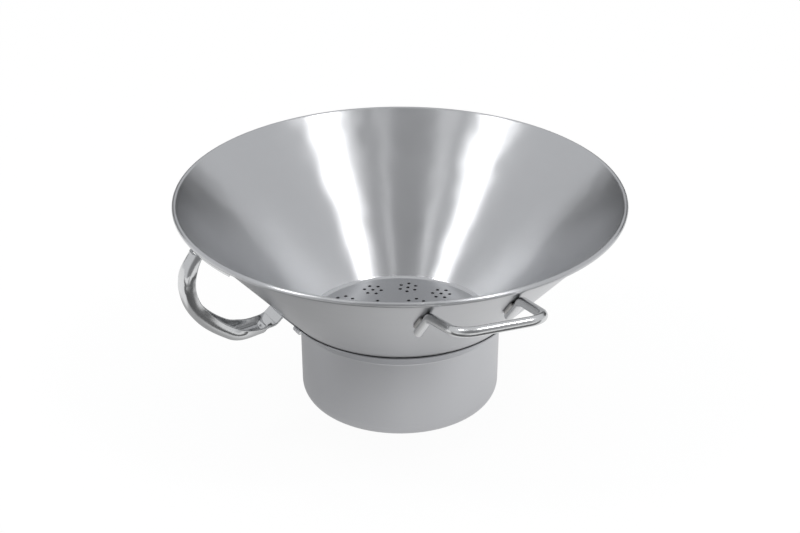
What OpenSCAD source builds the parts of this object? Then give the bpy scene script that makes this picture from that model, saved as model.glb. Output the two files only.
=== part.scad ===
// Fry draining bowl: a conical sheet-steel drainer nested in a fat pot that swings open on a hinge.
// Millimetres. The origin is the centre of the pot's base, +Z is up,
// the loop handle points to -X and the rod handle to about -Y.

/* [Bowl] */
// Diameter over the rolled rim
rim_d = 450; // [360:1:520]
// Depth from the top of the rim to the floor
bowl_depth = 140; // [110:1:150]
// Distance of the cone's foot inside the pot's outer face
floor_set = 3.84; // [3.5:0.02:5]
// Thickness of the sheet of bowl and pot
sheet = 1.0; // [0.6:0.1:1.5]
// Diameter of the rolled edge
bead_d = 5.6; // [4.4:0.1:8]
// Inner radius of the corner between floor and cone
corner_r = 6; // [3:0.5:12]

/* [Drain holes] */
// Diameter of one drain hole
hole_d = 3.6; // [2:0.1:5]
// Distance from the middle hole of a cluster to the six round it
hole_pitch = 8.85; // [6.5:0.05:9.5]
// Radius of the outer ring of clusters
outer_ring_r = 71.5; // [68:0.5:76]
// Clusters in the outer ring
outer_clusters = 12; // [8:1:12]
// Direction of the first outer cluster
outer_ring_az = 25.3; // [0:0.1:30]
// Radius of the inner ring of clusters
inner_ring_r = 40.5; // [36:0.5:44]
// Clusters in the inner ring
inner_clusters = 6; // [4:1:6]
// Direction of the first inner cluster
inner_ring_az = 38.1; // [0:0.1:60]
// Twist of the inner clusters out of the radial direction
inner_twist = 20; // [0:1:30]

/* [Pot] */
// Outer diameter of the pot at the throat
pot_d = 202; // [180:1:220]
// Height of the pot's straight wall, up to the throat
pot_h = 86; // [70:1:120]
// Draft of the pot's wall
pot_taper = 0.8; // [0:0.1:2]
// Outer radius of the pot's lower edge
pot_corner_r = 18.4; // [10:0.2:30]
// Radius of the throat on which the cone rests
throat_r = 4; // [3:0.5:8]
// Angle by which the flared collar opens away from the cone
flare_open = 2.6; // [2.2:0.1:3.6]
// Length of the flared collar
flare_len = 19; // [12:0.5:24]
// Clearance between the cone and its seat in the throat
seat_gap = 0.1; // [0.05:0.01:0.2]

/* [Loop handle] */
// Thickness of the handle's sheet
strap_t = 2.0; // [1.5:0.1:2.5]
// Width of the handle at the rim and along the grip
strap_w = 22.5; // [18:0.5:26]
// Width of the handle's foot
foot_w = 28.5; // [26:0.5:36]
// Depth of the rim bar below the rolled edge
rim_bar_h = 4.3; // [3:0.1:6]
// Distance from the rim's outer edge in to the rim bar
rim_bar_set = 3.7; // [3.2:0.1:4.4]
// Angle that the rim bar takes up along the rim
rim_bar_angle = 32; // [24:1:44]
// Depth of the handle's channel where it meets the rim bar
rim_channel = 6.2; // [5.8:0.1:6.6]

/* [Hinge] */
// Thickness of the foot plate and of the pot's leaf
plate_t = 1.5; // [1:0.1:1.6]
// Length of the foot plate beyond the handle's foot
plate_over = 2; // [1:0.5:6]
// Outer diameter of the hinge knuckles
knuckle_d = 4.8; // [4.4:0.1:5.4]
// Length of the whole hinge barrel
barrel_w = 11; // [9:0.5:16]
// Diameter of the hinge pin
pin_d = 2.4; // [2:0.1:2.6]
// Running clearance of the pin in the middle knuckle, on the radius
pin_run = 0.05; // [0.02:0.01:0.1]
// Clearance between the knuckles along the pin
knuckle_gap = 0.3; // [0.2:0.05:0.5]
// Height of the pin's axis over the cone
hinge_off = 3.0; // [2.9:0.1:3.4]
// Distance of the pin's axis below the collar's edge, down the slope
hinge_down = 1.5; // [0.5:0.1:1.6]
// Length of the pot's leaf below the pin
leaf_len = 10; // [7:0.5:14]

/* [Catch] */
// Width of the catch's spring
catch_w = 12; // [8:0.5:18]
// Thickness of the catch's spring
catch_t = 0.8; // [0.5:0.1:1]
// Thickness of the pad that carries the spring
pad_t = 1.2; // [0.8:0.1:1.6]
// Length of the pad along the cone
pad_len = 18; // [14:0.5:26]
// Diameter of the rivets
rivet_d = 2.8; // [2:0.1:3.4]
// Distance between the rivets
rivet_gap = 6; // [5:0.1:8]
// Length of the finger tab at the spring's end
tab_len = 8; // [5:0.5:12]

/* [Rod handle] */
// Diameter of the rod
rod_d = 9.6; // [8:0.1:11]
// Direction of the rod handle round the bowl
rod_az = 262.3; // [240:0.1:290]
// Distance between the two legs at the wall
rod_foot_w = 91; // [70:1:120]
// Length of the grip between its corners
rod_grip_w = 87; // [66:1:120]
// Reach of the grip beyond the rim
rod_reach = 42; // [34:0.5:60]
// Depth of the grip below the top of the rim
rod_drop = 8.7; // [5:0.1:14]
// Depth of the wall bends below the top of the rim
rod_wall_drop = 25.3; // [22:0.1:34]
// Bending radius of the rod
rod_bend_r = 19.7; // [12:0.1:22]
// Length of each leg down the wall
rod_leg = 41; // [36:1:50]
// Radius of the weld beads beside the legs
weld_r = 2.4; // [1.6:0.1:3]
// Length of the weld beads
weld_len = 24; // [12:1:28]

/* [Hidden] */
$fn = 96;

// Step from a knuckle's end to the plate's edge beside it
plate_step = 0.25;
// Overhang of the catch's spring past its rivets
spring_over = 3.2;
// Gap that a weld or a press fit closes
fit = 0.02;
// Room that a cutting body has beyond the piece that it cuts
over = 20;
// Colours of the sheet, of the polished pieces and of the welds
satin = "#C3C5C8";
polished = "#D2D3D5";
bare = "#A9ABAF";

// Slope of the cone, measured from the vertical: from the pot's throat to the rim over the bowl's depth
cone_angle = atan((rim_d / 2 - pot_d / 2 + floor_set) / bowl_depth);
flare_angle = cone_angle + flare_open;

// Cone: n points out of the sheet and u points up the slope, as (radius, height)
n = [cos(cone_angle), -sin(cone_angle)];
u = [sin(cone_angle), cos(cone_angle)];

// A strip of sheet runs along its middle line in steps: [length, 0] straight, [radius, turn] bent
function step_centre(p, h, s) = p + sign(s[1]) * s[0] * [-sin(h), cos(h)];
function turned(v, a) = [v[0] * cos(a) - v[1] * sin(a), v[0] * sin(a) + v[1] * cos(a)];
function step_end(p, h, s) = s[1] == 0
    ? [p + s[0] * [cos(h), sin(h)], h]
    : [step_centre(p, h, s) + turned(p - step_centre(p, h, s), s[1]), h + s[1]];
function strip_end(p, h, steps, i = 0) = i == len(steps)
    ? [p, h]
    : let(e = step_end(p, h, steps[i])) strip_end(e[0], e[1], steps, i + 1);

// Pot, from the middle of its base to the edge of the collar
pot_m = pot_d / 2 - sheet / 2;
pot_turn = 90 - pot_taper;
pot_corner_m = pot_corner_r - sheet / 2;
pot_corner_t = pot_corner_m * tan(pot_turn / 2);
pot_steps = [
    [pot_m - (pot_h - sheet / 2) * tan(pot_taper) - pot_corner_t, 0],
    [pot_corner_m, pot_turn],
    [(pot_h - sheet / 2) / cos(pot_taper) - pot_corner_t, 0],
    [throat_r - sheet / 2, pot_taper - flare_angle],
    [flare_len, 0]];
pot_start = [0, sheet / 2];
throat = strip_end(pot_start, 0, [pot_steps[0], pot_steps[1], pot_steps[2]]);
throat_c = step_centre(throat[0], throat[1], pot_steps[3]);
lip = strip_end(pot_start, 0, pot_steps);
flare_n = [cos(flare_angle), -sin(flare_angle)];
lip_in = lip[0] - flare_n * sheet / 2;
lip_out = lip[0] + flare_n * sheet / 2;

// The cone's outer face passes through this point, clear of the throat by the seat's gap
seat = throat_c - n * (throat_r + seat_gap);
function cone_r(z, off = 0) = seat[0] + (z - seat[1]) * tan(cone_angle) + off / cos(cone_angle);

// Rolled rim
bead_r = bead_d / 2;
bead_x = rim_d / 2 - bead_r;
bead_z = seat[1] + (bead_r - sheet - n[0] * (bead_x - seat[0])) / n[1];
rim_z = bead_z + bead_r;

// Bowl, from the middle of its floor to the end of the rolled rim
floor_z = rim_z - bowl_depth;
floor_m = floor_z - sheet / 2;
bowl_turn = 90 - cone_angle;
corner_m = corner_r + sheet / 2;
corner_t = corner_m * tan(bowl_turn / 2);
corner_x = cone_r(floor_m, -sheet / 2);
bead_start = [bead_x, bead_z] - n * (bead_r - sheet / 2);
bowl_steps = [
    [corner_x - corner_t, 0],
    [corner_m, bowl_turn],
    [norm(bead_start - [corner_x, floor_m]) - corner_t, 0],
    [bead_r - sheet / 2, -297]];

// Rim bar, hung under the rolled edge
bar_out = rim_d / 2 - rim_bar_set;
bar_in = bar_out - strap_t;
bar_top = bead_z - sqrt(bead_r * bead_r - (bead_x - bar_out) * (bead_x - bar_out)) - fit;
bar_low = bar_top - rim_bar_h;

// Hinge axis, as (radius, height)
hinge = lip_in - u * hinge_down + n * (hinge_off - n * (lip_in - seat));
knuckle_r = knuckle_d / 2;
notch_r = knuckle_r + 0.35;
mid_w = (barrel_w - 2 * knuckle_gap) / 3;

// Loop handle: the line of its free edges, from the bar down, as steps of (bending radius, turn) or
// (straight length, 0); radii and lengths are shares of the wall's run from the hinge to the rolled edge
wall_run = u * ([bead_x, bead_z] - hinge);
loop_start = [bar_out - rim_channel, bar_low - fit];
loop_heading = cone_angle - 99.6;
loop_shape = [[0.408, -19.05], [0.275, -21.9], [0.273, -22.65], [0.59, -28.2], [0.296, -36.75],
              [0.06, 0], [0.05, -36], [0.042, 0]];
loop_steps = [for (s = loop_shape) [s[0] * wall_run, s[1]]];
// Sections at the ends of those steps, two more in the long ones:
// [step, share of it, half the sheet's developed width over half the handle's width, bend of a side]
section_at = [
    [0, 0.00, 1.00, 45],
    [0, 0.35, 1.30, 74],
    [1, 0.00, 1.48, 94],
    [2, 0.00, 1.68, 98],
    [3, 0.20, 2.01, 107],
    [4, 0.00, 1.68, 106],
    [5, 0.00, 1.10, 68],
    [5, 0.60, 1.02, 36],
    [6, 0.50, 1.00, 0],
    [8, 0.00, 1.00, 0]];
// Share of the wall's run over which the sections lean into the cut at the bar
lean_share = 0.12;
STATIONS = 64;
SIDE = 9;

function loop_len(s) = s[1] == 0 ? s[0] : s[0] * abs(s[1]) * PI / 180;
function loop_to(i) = i <= 0 ? 0 : loop_to(i - 1) + loop_len(loop_steps[i - 1]);
loop_total = loop_to(len(loop_steps));
function loop_at(q, p = loop_start, h = loop_heading, i = 0) = q <= 0 ? [p, h] :
    let(s = loop_steps[i], l = loop_len(s))
    q > l && i < len(loop_steps) - 1
        ? let(e = step_end(p, h, s)) loop_at(q - l, e[0], e[1], i + 1)
        : step_end(p, h, s[1] == 0 ? [q, 0] : [s[0], s[1] * q / l]);
function ease(v) = let(w = min(1, max(0, v))) w * w * (3 - 2 * w);
function section_s(k) = loop_to(section_at[k][0])
    + (section_at[k][0] < len(loop_steps) ? section_at[k][1] * loop_len(loop_steps[section_at[k][0]]) : 0);
function section_k(q, k = 0) = k < len(section_at) - 2 && q > section_s(k + 1) ? section_k(q, k + 1) : k;
function section(q, c) = let(k = section_k(q), a = section_s(k), b = section_s(k + 1))
    section_at[k][c] + (section_at[k + 1][c] - section_at[k][c]) * ease((q - a) / (b - a));
function loop_w(q) = strap_w + (foot_w - strap_w) * ease((q - loop_to(3)) / (loop_to(6) - loop_to(3)));

// Half a section: the sheet's middle line, out from the crown, as (across, towards the free edge)
function bend_at(v, bend) = bend * ease((v - 0.12) / 0.72);
function half_line(width, bend) = [for (j = 0, p = [0, 0]; j <= SIDE;
    j = j + 1,
    p = p + width / SIDE * [cos(bend_at((j - 0.5) / SIDE, bend)), sin(bend_at((j - 0.5) / SIDE, bend))]) p];
function section_ring(q) =
    let(
        bend = section(q, 3),
        raw = half_line(section(q, 2) * loop_w(q) / 2, bend),
        wide = max([for (j = [0:SIDE]) raw[j][0] + strap_t / 2 * sin(bend_at(j / SIDE, bend))]),
        fac = loop_w(q) / 2 / wide,
        line = [for (p = raw) [p[0] * fac, p[1]]],
        out = [for (j = [0:SIDE]) line[j] + strap_t / 2 * [sin(bend_at(j / SIDE, bend)),
                                                          -cos(bend_at(j / SIDE, bend))]],
        in = [for (j = [0:SIDE]) line[j] - strap_t / 2 * [sin(bend_at(j / SIDE, bend)),
                                                         -cos(bend_at(j / SIDE, bend))]],
        edge = max(out[SIDE][1], in[SIDE][1]))
    [for (j = [SIDE:-1:0]) [-out[j][0], edge - out[j][1]],
     for (j = [1:SIDE]) [out[j][0], edge - out[j][1]],
     for (j = [SIDE:-1:0]) [in[j][0], edge - in[j][1]],
     for (j = [1:SIDE]) [-in[j][0], edge - in[j][1]]];
// A section's points in space: the first section is cut flat along the bar, those after it lean into
// that cut less and less, and the last one is cut to the plate
function shift_top(out, h, q) = -out * cos(h) / sin(h) * max(0, 1 - q / (lean_share * wall_run));
function shift_foot(p, y, h) =
    (cone_r(p[1], plate_t + 2 * fit) - y * y / (2 * cone_r(p[1])) - p[0]) / (cos(h) - tan(cone_angle) * sin(h));
function station(i) =
    let(q = loop_total * i / STATIONS, e = loop_at(q), h = e[1], o = [-sin(h), cos(h)])
    [for (c = section_ring(q))
        let(
            p = e[0] + o * c[1],
            d = i == STATIONS ? shift_foot(p, c[0], h) : shift_top(c[1], h, q),
            w = p + d * [cos(h), sin(h)])
        [-w[0], c[0], w[1]]];

// Where the handle's foot meets the plate, along the slope from the hinge
foot_e = loop_at(loop_total);
foot_p = foot_e[0] + shift_foot(foot_e[0], 0, foot_e[1]) * [cos(foot_e[1]), sin(foot_e[1])];
foot_up = u * (foot_p - hinge);

// Catch, opposite to the hinge; its path starts at the upper end of the spring
pad_low = u * (lip_in - hinge) + 3;
rivet_up = pad_low + pad_len - 5;
spring_off = pad_t + fit + 0.2;

// Rod handle: a is the distance out in its middle plane, b the distance to the side
rod_r = rod_d / 2;
weld_gap = 0.1;
function rod_wall(z) =
    let(far = cone_r(z, rod_r + weld_gap), b = rod_foot_w / 2) [sqrt(far * far - b * b), b, z];
rod_top = rod_wall(rim_z - rod_wall_drop);
rod_low = rod_wall(rim_z - rod_wall_drop - rod_leg * cos(cone_angle));
rod_corner = [rim_d / 2 + rod_reach, rod_grip_w / 2, rim_z - rod_drop];

// Samples of a strip's middle line as [point, heading], a bend in equal parts of at most 7.5 degrees
function step_samples(p, h, s) = let(m = s[1] == 0 ? 1 : ceil(abs(s[1]) / 7.5))
    [for (k = [0:m - 1]) step_end(p, h, s[1] == 0 ? [0, 0] : [s[0], s[1] * k / m + 1e-9])];
function strip_samples(p, h, steps, i = 0) = i == len(steps)
    ? [[p, h]]
    : let(e = step_end(p, h, steps[i]))
      concat(step_samples(p, h, steps[i]), strip_samples(e[0], e[1], steps, i + 1));

// Draws one strip of sheet as a flat section
module strip(p, h, steps, t) {
    line = strip_samples(p, h, steps);
    last = len(line) - 1;
    polygon([for (e = line) e[0] - t / 2 * [-sin(e[1]), cos(e[1])],
             for (k = [last:-1:0]) line[k][0] + t / 2 * [-sin(line[k][1]), cos(line[k][1])]]);
}

// Stands its children on the cone's outer face at a direction and a point (radius, height):
// X points out of the face, Y along it and Z up the slope
module on_cone(az, p) {
    rotate([0, 0, az]) translate([p[0], 0, p[1]]) rotate([0, cone_angle, 0]) children();
}

// A layer that follows the cone from one height over its face to another
module cone_layer(low, high, z0, z1) {
    rotate_extrude($fn = 360)
        polygon([[cone_r(z0, low), z0], [cone_r(z0, high), z0], [cone_r(z1, high), z1], [cone_r(z1, low), z1]]);
}

// Solid cone inside a face that lies a given distance over the bowl
module cone_core(off, z0, z1) {
    rotate_extrude($fn = 360) polygon([[0, z0], [cone_r(z0, off), z0], [cone_r(z1, off), z1], [0, z1]]);
}

// Seven holes: one in the middle and six round it
module hole_cluster() {
    cylinder(h = 4 * sheet, d = hole_d, center = true, $fn = 24);
    for (k = [0:5]) rotate([0, 0, 60 * k]) translate([hole_pitch, 0, 0])
        cylinder(h = 4 * sheet, d = hole_d, center = true, $fn = 24);
}

module bowl() {
    color(satin) difference() {
        rotate_extrude($fn = 360) strip([0, floor_m], 0, bowl_steps, sheet);
        translate([0, 0, floor_m]) {
            hole_cluster();
            for (k = [0:inner_clusters - 1]) rotate([0, 0, inner_ring_az + 360 / inner_clusters * k])
                translate([inner_ring_r, 0, 0]) rotate([0, 0, inner_twist]) hole_cluster();
            for (k = [0:outer_clusters - 1]) rotate([0, 0, outer_ring_az + 360 / outer_clusters * k])
                translate([outer_ring_r, 0, 0]) hole_cluster();
        }
    }
}

module rim_bar() {
    color(polished) rotate([0, 0, 180 - rim_bar_angle / 2]) rotate_extrude(angle = rim_bar_angle, $fn = 360)
        translate([bar_in, bar_low]) square([strap_t, rim_bar_h]);
}

// The pressed loop: one sheet swept along its free edges, from the bar to the foot plate
module loop_handle() {
    ring = 4 * SIDE + 2;
    color(polished) polyhedron(
        points = [for (i = [0:STATIONS]) for (p = station(i)) p],
        faces = [
            for (i = [0:STATIONS - 1]) for (j = [0:ring - 1]) let(k = (j + 1) % ring)
                [i * ring + j, i * ring + k, (i + 1) * ring + k, (i + 1) * ring + j],
            for (j = [0:ring / 2 - 2]) [j + 1, j, ring - 1 - j, ring - 2 - j],
            for (j = [0:ring / 2 - 2]) let(b = STATIONS * ring)
                [b + j, b + j + 1, b + ring - 2 - j, b + ring - 1 - j]],
        convexity = 6);
}

// One hinge knuckle round the axis, at a distance along it
module knuckle(y, w, bore) {
    translate([0, y - w / 2, 0]) rotate([-90, 0, 0]) difference() {
        cylinder(h = w, r = knuckle_r, $fn = 48);
        translate([0, 0, -1]) cylinder(h = w + 2, r = bore, $fn = 48);
    }
}

module foot_plate() {
    top = foot_up + plate_over;
    half = barrel_w / 2 - plate_step;
    slot = mid_w / 2 + knuckle_gap + plate_step;
    color(satin) difference() {
        union() {
            difference() {
                intersection() {
                    cone_layer(fit, plate_t, hinge[1] - over, foot_p[1] + over);
                    on_cone(180, hinge) rotate([0, 90, 0]) translate([0, 0, -hinge_off - 5])
                        linear_extrude(height = 5 + hinge_off + plate_t)
                            polygon([[0.4, -half], [-6, -half], [-top, -foot_w / 2],
                                     [-top, foot_w / 2], [-6, half], [0.4, half]]);
                }
                on_cone(180, hinge) translate([-2 * hinge_off, -slot, -knuckle_r])
                    cube([3 * hinge_off, 2 * slot, knuckle_d + knuckle_gap]);
            }
            for (s = [-1, 1]) on_cone(180, hinge) knuckle(s * (barrel_w - mid_w) / 2, mid_w, pin_d / 4);
        }
        on_cone(180, hinge) rotate([-90, 0, 0])
            cylinder(h = 2 * barrel_w, r = pin_d / 2 + fit, center = true, $fn = 48);
    }
}

module hinge_pin() {
    color(polished) on_cone(180, hinge) rotate([-90, 0, 0])
        cylinder(h = barrel_w + 0.6, d = pin_d, center = true, $fn = 48);
}

// The leaf lies on the collar's outer face and ends in the middle knuckle
module pot_leaf() {
    reach = flare_n * (hinge - lip_out);
    color(satin) rotate([0, 0, 180]) translate([hinge[0], 0, hinge[1]]) rotate([0, flare_angle, 0])
        difference() {
            union() {
                translate([fit - reach, -mid_w / 2, -leaf_len]) cube([plate_t, mid_w, leaf_len]);
                knuckle(0, mid_w, 0.1);
            }
            rotate([-90, 0, 0]) cylinder(h = 2 * barrel_w, r = pin_d / 2 + pin_run, center = true, $fn = 48);
        }
}

// The collar has a slot for the hinge barrel, open at the collar's edge
module pot() {
    color(satin) difference() {
        rotate_extrude($fn = 360) strip(pot_start, 0, pot_steps, sheet);
        on_cone(180, hinge) {
            rotate([-90, 0, 0]) cylinder(h = barrel_w + 1, r = notch_r, center = true, $fn = 48);
            translate([-notch_r, -(barrel_w + 1) / 2, 0]) cube([2 * notch_r, barrel_w + 1, hinge_down + over / 2]);
        }
    }
}

// The rod's middle line, from the end of one leg to the end of the other
function rod_other(p) = [p[0], -p[1], p[2]];
rod_path = [rod_low, rod_top, rod_corner, rod_other(rod_corner), rod_other(rod_top), rod_other(rod_low)];
rod_up = cross(rod_corner - rod_top, [0, 1, 0]);
ROD_SIDES = 24;
BEND_PARTS = 10;

// Samples of one bend at corner p of the line from a to b, as [point, direction]
function rod_bend(a, p, b) =
    let(
        d = (p - a) / norm(p - a),
        e = (b - p) / norm(b - p),
        turn = acos(d * e),
        c = (e - (d * e) * d) / sin(turn),
        from = p - d * rod_bend_r * tan(turn / 2))
    [for (k = [0:BEND_PARTS]) let(w = turn * k / BEND_PARTS)
        [from + rod_bend_r * (sin(w) * d + (1 - cos(w)) * c), cos(w) * d + sin(w) * c]];
function rod_samples() = let(p = rod_path, last = len(p) - 1) concat(
    [[p[0], (p[1] - p[0]) / norm(p[1] - p[0])]],
    [for (i = [1:last - 1]) each rod_bend(p[i - 1], p[i], p[i + 1])],
    [[p[last], (p[last] - p[last - 1]) / norm(p[last] - p[last - 1])]]);
function rod_ring(e) =
    let(x = rod_up - (rod_up * e[1]) * e[1], ux = x / norm(x), uy = cross(e[1], ux))
    [for (k = [0:ROD_SIDES - 1]) e[0] + rod_r * (cos(360 * k / ROD_SIDES) * ux + sin(360 * k / ROD_SIDES) * uy)];

// One round rod swept through its four bends
module rod_handle() {
    line = rod_samples();
    last = len(line) - 1;
    m = ROD_SIDES;
    color(polished) rotate([0, 0, rod_az]) polyhedron(
        points = [for (e = line) each rod_ring(e)],
        faces = concat(
            [[for (k = [0:m - 1]) k]],
            [for (i = [0:last - 1]) for (k = [0:m - 1]) let(q = (k + 1) % m)
                [i * m + k, (i + 1) * m + k, (i + 1) * m + q, i * m + q]],
            [[for (k = [m - 1:-1:0]) last * m + k]]),
        convexity = 6);
}

// Two weld beads beside each leg, cut to the rod and to the wall
module rod_welds() {
    up = rod_top - rod_low;
    mid = rod_low + up * 0.42;
    side = atan2(mid[1], mid[0]);
    lean = atan2(up[0] * sin(side), up[0] * cos(side) * u[0] + up[2] * u[1]);
    color(bare) for (s = [-1, 1])
        difference() {
            rotate([0, 0, rod_az + s * side])
                translate([norm([mid[0], mid[1]]), 0, mid[2]]) rotate([0, cone_angle, 0]) rotate([s * lean, 0, 0])
                    for (t = [-1, 1]) translate([-rod_r * 0.72, t * rod_r * 0.96, -weld_len / 2])
                        cylinder(h = weld_len, r = weld_r, $fn = 32);
            rotate([0, 0, rod_az]) rod_leg_cut(rod_low, rod_top, s);
            cone_core(fit, rod_low[2] - over, rod_top[2] + over);
        }
}

// The leg's own space, a little wider than the rod
module rod_leg_cut(p, q, s) {
    a = [p[0], s * p[1], p[2]];
    d = [q[0], s * q[1], q[2]] - a;
    translate(a - d * 0.1) rotate([0, acos(d[2] / norm(d)), atan2(d[1], d[0])])
        cylinder(h = norm(d) * 1.2, r = rod_r + fit, $fn = 48);
}

module catch_base() {
    color(satin) difference() {
        intersection() {
            cone_layer(fit, pad_t, hinge[1] - over, hinge[1] + pad_len + over);
            on_cone(0, hinge) translate([-hinge_off - 5, -catch_w / 2 - 2, pad_low])
                cube([over, catch_w + 4, pad_len]);
        }
        rivet_shanks(rivet_d / 2 + fit);
    }
}

module rivet_shanks(r) {
    for (s = [-1, 1]) on_cone(0, hinge)
        translate([-hinge_off + fit, s * rivet_gap / 2, rivet_up]) rotate([0, 90, 0])
            cylinder(h = spring_off + catch_t + 0.2, r = r, $fn = 32);
}

// The spring runs down the pad, turns past the collar's edge, and ends in a nose and a finger tab
module catch_spring() {
    back = u * (lip_out - hinge);
    run = rivet_up + spring_over - back - 3.2;
    start = hinge + n * (spring_off + catch_t / 2 - hinge_off) + u * (rivet_up + spring_over);
    color(polished) difference() {
        rotate([90, 0, 0]) linear_extrude(height = catch_w, center = true)
            strip(start, 270 - cone_angle, [[run, 0], [2.4, cone_angle - 6], [4.2, 0], [1.6, 62], [tab_len, 0]],
                  catch_t);
        rivet_shanks(rivet_d / 2 + 0.1);
    }
}

module catch_rivets() {
    color(polished) {
        rivet_shanks(rivet_d / 2);
        for (s = [-1, 1]) on_cone(0, hinge)
            translate([-hinge_off + spring_off + catch_t + 0.2, s * rivet_gap / 2, rivet_up]) rotate([0, 90, 0])
                cylinder(h = 1, r = rivet_d * 0.9, $fn = 32);
    }
}

bowl();
rim_bar();
loop_handle();
foot_plate();
hinge_pin();
pot_leaf();
pot();
rod_handle();
rod_welds();
catch_base();
catch_spring();
catch_rivets();
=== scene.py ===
"""Fry draining bowl in spun and pressed stainless steel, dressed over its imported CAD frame.

The bowl, the fat pot, the pressed loop handle and the bent rod handle are rebuilt as smooth surfaces at the CAD's
own sizes. The small hinge and catch pieces keep their CAD solids and get real finishes. All lengths in the classes
are millimetres in the CAD's frame, and meshes are written in metres.
"""

import logging
import math
from dataclasses import dataclass, field
from enum import Enum
from typing import Any, Sequence

import bmesh
import bpy
import numpy as np
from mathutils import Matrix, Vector
from mathutils.geometry import delaunay_2d_cdt


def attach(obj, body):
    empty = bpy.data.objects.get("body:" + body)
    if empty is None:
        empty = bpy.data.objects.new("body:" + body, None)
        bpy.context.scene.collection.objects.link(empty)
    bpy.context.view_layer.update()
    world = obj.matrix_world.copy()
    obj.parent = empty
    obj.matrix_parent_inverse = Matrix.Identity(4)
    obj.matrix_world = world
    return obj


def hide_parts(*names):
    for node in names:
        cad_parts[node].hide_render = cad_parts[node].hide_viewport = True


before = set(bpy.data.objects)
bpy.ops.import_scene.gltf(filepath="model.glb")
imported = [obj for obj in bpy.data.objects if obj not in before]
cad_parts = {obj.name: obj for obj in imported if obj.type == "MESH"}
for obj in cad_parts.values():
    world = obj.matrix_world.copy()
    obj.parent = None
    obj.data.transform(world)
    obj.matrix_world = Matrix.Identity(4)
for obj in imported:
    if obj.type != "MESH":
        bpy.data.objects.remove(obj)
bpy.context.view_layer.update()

LOG = logging.getLogger("fry_draining_bowl")
MM = 0.001
Array = np.ndarray


class Body(Enum):
    """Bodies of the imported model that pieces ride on."""

    BOWL = "bowl_body"
    POT = "pot_body"
    CATCH = "catch_body"


def linear(code: str) -> tuple[float, float, float, float]:
    """Turns an sRGB hex colour into linear RGBA.

    Args:
        code: colour such as "#C3C5C8".

    Returns:
        Linear red, green, blue and an alpha of 1.
    """
    parts = [int(code[i:i + 2], 16) / 255 for i in (1, 3, 5)]
    r, g, b = (c / 12.92 if c <= 0.04045 else ((c + 0.055) / 1.055) ** 2.4 for c in parts)
    return (r, g, b, 1.0)


def add_node(tree: bpy.types.NodeTree, kind: str, values: dict[Any, Any] | None = None,
             links: dict[Any, bpy.types.NodeSocket] | None = None) -> bpy.types.Node:
    """Adds one shader node with its settings and its incoming links.

    Args:
        tree: node tree that takes the node.
        kind: node type's name.
        values: text keys that name an attribute are set on the node, the rest are input sockets.
        links: input socket names or numbers with the sockets that feed them.

    Returns:
        The new node.
    """
    node = tree.nodes.new(kind)
    for key, value in (values or {}).items():
        if isinstance(key, str) and hasattr(node, key):
            setattr(node, key, value)
        else:
            node.inputs[key].default_value = value
    for key, socket in (links or {}).items():
        tree.links.new(socket, node.inputs[key])
    return node


def add_mesh(name: str, points: Array, faces: Sequence[Sequence[int]], smooth_angle: float = 30.0) -> bpy.types.Object:
    """Puts a mesh in the scene at the origin.

    Args:
        name: piece's name.
        points: vertices in millimetres, one row each.
        faces: vertex numbers of each face, seen from outside counter-clockwise.
        smooth_angle: edges sharper than this stay crisp, in degrees.

    Returns:
        The new object.
    """
    mesh = bpy.data.meshes.new(name)
    mesh.from_pydata((points * MM).tolist(), [], faces)
    mesh.validate()
    mesh.polygons.foreach_set("use_smooth", np.ones(len(mesh.polygons), dtype=bool))
    mesh.set_sharp_from_angle(angle=math.radians(smooth_angle))
    mesh.update()
    obj = bpy.data.objects.new(name, mesh)
    bpy.context.scene.collection.objects.link(obj)
    return obj


def grid_faces(rows: int, columns: int, wrap_rows: bool = False, wrap_columns: bool = False,
               flip: bool = False) -> Array:
    """Numbers the quads of a grid whose vertices are stored row by row.

    Args:
        rows: rows of vertices.
        columns: vertices in each row.
        wrap_rows: the last row joins the first.
        wrap_columns: the last column joins the first.
        flip: turns every face over.

    Returns:
        One row of four vertex numbers for each quad.
    """
    i, j = np.meshgrid(np.arange(rows if wrap_rows else rows - 1),
                       np.arange(columns if wrap_columns else columns - 1), indexing="ij")
    k, m = (i + 1) % rows, (j + 1) % columns
    quads = np.stack([i * columns + j, k * columns + j, k * columns + m, i * columns + m], axis=-1).reshape(-1, 4)
    return quads[:, ::-1] if flip else quads


def rotation_z(points: Array, degrees: float) -> Array:
    """Turns points about the bowl's axis.

    Args:
        points: rows of x, y, z.
        degrees: angle of the turn.

    Returns:
        The turned points: x' = x cos - y sin, y' = x sin + y cos.
    """
    c, s = math.cos(math.radians(degrees)), math.sin(math.radians(degrees))
    return points @ np.array([[c, s, 0.0], [-s, c, 0.0], [0.0, 0.0, 1.0]])


def ease(v: Array) -> Array:
    """Smooth step 3v^2 - 2v^3 between 0 and 1."""
    w = np.clip(v, 0.0, 1.0)
    return w * w * (3.0 - 2.0 * w)


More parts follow.
